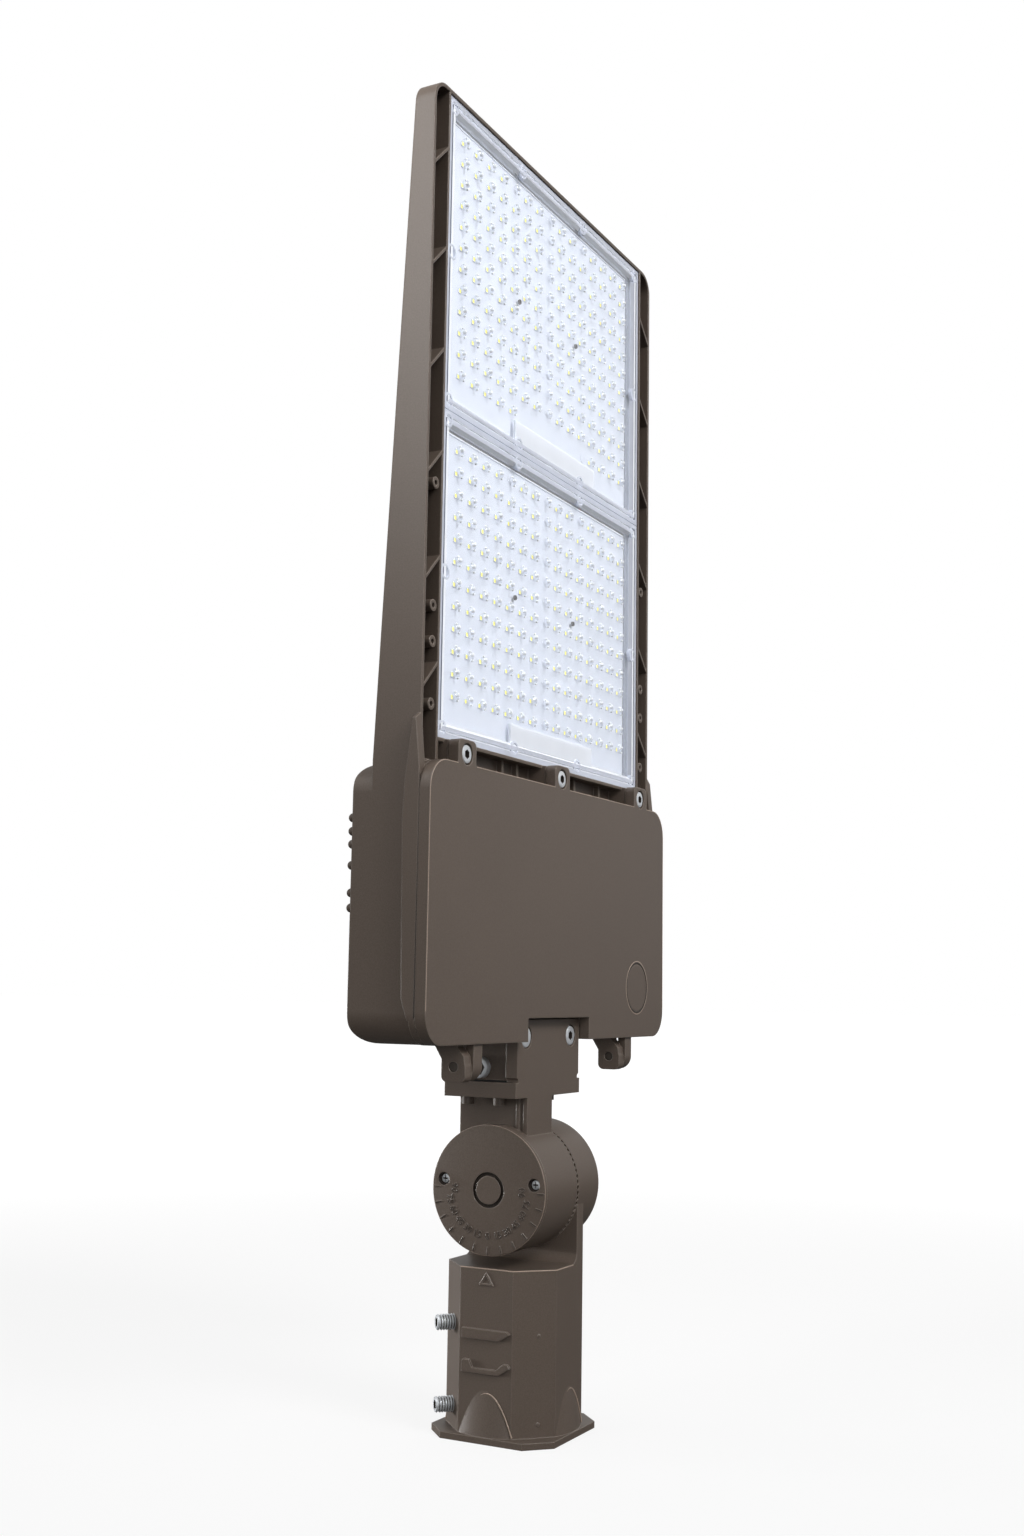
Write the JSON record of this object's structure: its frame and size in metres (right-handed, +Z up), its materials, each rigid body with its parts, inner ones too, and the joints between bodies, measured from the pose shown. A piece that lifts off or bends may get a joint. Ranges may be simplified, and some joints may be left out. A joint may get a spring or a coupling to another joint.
{
  "type": "shoebox area light",
  "caption": "Flat rectangular LED area light head with side rails, finned back and hinged driver box door, on a toothed tilting knuckle and octagonal slip fitter for a round pole tenon.",
  "frame": {"origin": "centre of the slip fitter's mouth, on the tenon bore's axis", "axes": "+Z up along the tenon bore toward the head, X across the head and along the tilt axis, lenses and door face -Y"},
  "size_m": [0.337, 0.0862, 0.8227],
  "materials": {
    "bronze_fitter": "satin",
    "bronze_arm": "satin",
    "bronze_cap": "satin",
    "bronze_housing": "satin",
    "bronze_door": "satin",
    "zinc_bolt": "satin",
    "dark_bolt": "satin",
    "lens_plastic": "gloss",
    "seal_rubber": "matte",
    "board_white": "satin",
    "lamp_phosphor": "satin",
    "driver_case": "satin",
    "surge_case": "satin",
    "block_plastic": "satin",
    "lead_black": "satin",
    "lead_red": "satin",
    "earth_green": "satin",
    "retainer_nylon": "satin"
  },
  "bodies": {
    "fitter": {"socket_casting": "bronze_fitter", "pivot_bolt": "zinc_bolt", "pivot_nut": "zinc_bolt"},
    "head": {"pivot_washer": "zinc_bolt", "arm_casting": "bronze_arm", "dial_cap": "bronze_cap", "dial_cap_screws": "zinc_bolt", "tongue_bolts": "zinc_bolt", "ledge_bolts": "dark_bolt", "arm_gasket": "seal_rubber", "boss_side_bolt": "zinc_bolt", "housing": "bronze_housing", "upper_lens": "lens_plastic", "lower_lens": "lens_plastic", "upper_lens_gasket": "seal_rubber", "lower_lens_gasket": "seal_rubber", "upper_led_board": "board_white", "lower_led_board": "board_white", "upper_leds": "lamp_phosphor", "lower_leds": "lamp_phosphor", "lens_screws": "zinc_bolt", "driver": "driver_case", "driver_screws": "zinc_bolt", "surge_protector": "surge_case", "surge_protector_screws": "zinc_bolt", "terminal_block": "block_plastic", "terminal_block_screws": "zinc_bolt", "supply_leads": "lead_black", "surge_leads": "lead_red", "output_leads": "lead_red", "inlet_grommet": "seal_rubber", "board_grommet": "seal_rubber", "ground_screw": "earth_green", "hinge_pins": "dark_bolt"},
    "door_leaf": {"door": "bronze_door", "door_gasket": "seal_rubber", "screw_retainers": "retainer_nylon"},
    "bolt_upper": {"set_bolt_upper": "zinc_bolt"},
    "bolt_lower": {"set_bolt_lower": "zinc_bolt"},
    "screw_left": {"door_screw_left": "zinc_bolt"},
    "screw_middle": {"door_screw_middle": "zinc_bolt"},
    "screw_right": {"door_screw_right": "zinc_bolt"}
  },
  "joints": [
    {"name": "tilt", "type": "hinge", "parent": "fitter", "child": "head", "pos_m": [0, 0, 0.1505], "axis": [1, 0, 0], "range_deg": [-90, 90]},
    {"name": "door_hinge", "type": "hinge", "parent": "head", "child": "door_leaf", "pos_m": [0, -0.019, 0.2295], "axis": [1, 0, 0], "range_deg": [0, 95]},
    {"name": "set_bolt_upper_travel", "type": "slide", "parent": "fitter", "child": "bolt_upper", "axis": [0.7071, -0.7071, 0], "range_m": [-0.008, 0.0014]},
    {"name": "set_bolt_lower_travel", "type": "slide", "parent": "fitter", "child": "bolt_lower", "axis": [0.7071, -0.7071, 0], "range_m": [-0.008, 0.0014]},
    {"name": "door_screw_left_travel", "type": "slide", "parent": "door_leaf", "child": "screw_left", "axis": [0, -1, 0], "range_m": [0, 0.009]},
    {"name": "door_screw_middle_travel", "type": "slide", "parent": "door_leaf", "child": "screw_middle", "axis": [0, -1, 0], "range_m": [0, 0.009]},
    {"name": "door_screw_right_travel", "type": "slide", "parent": "door_leaf", "child": "screw_right", "axis": [0, -1, 0], "range_m": [0, 0.009]}
  ]
}
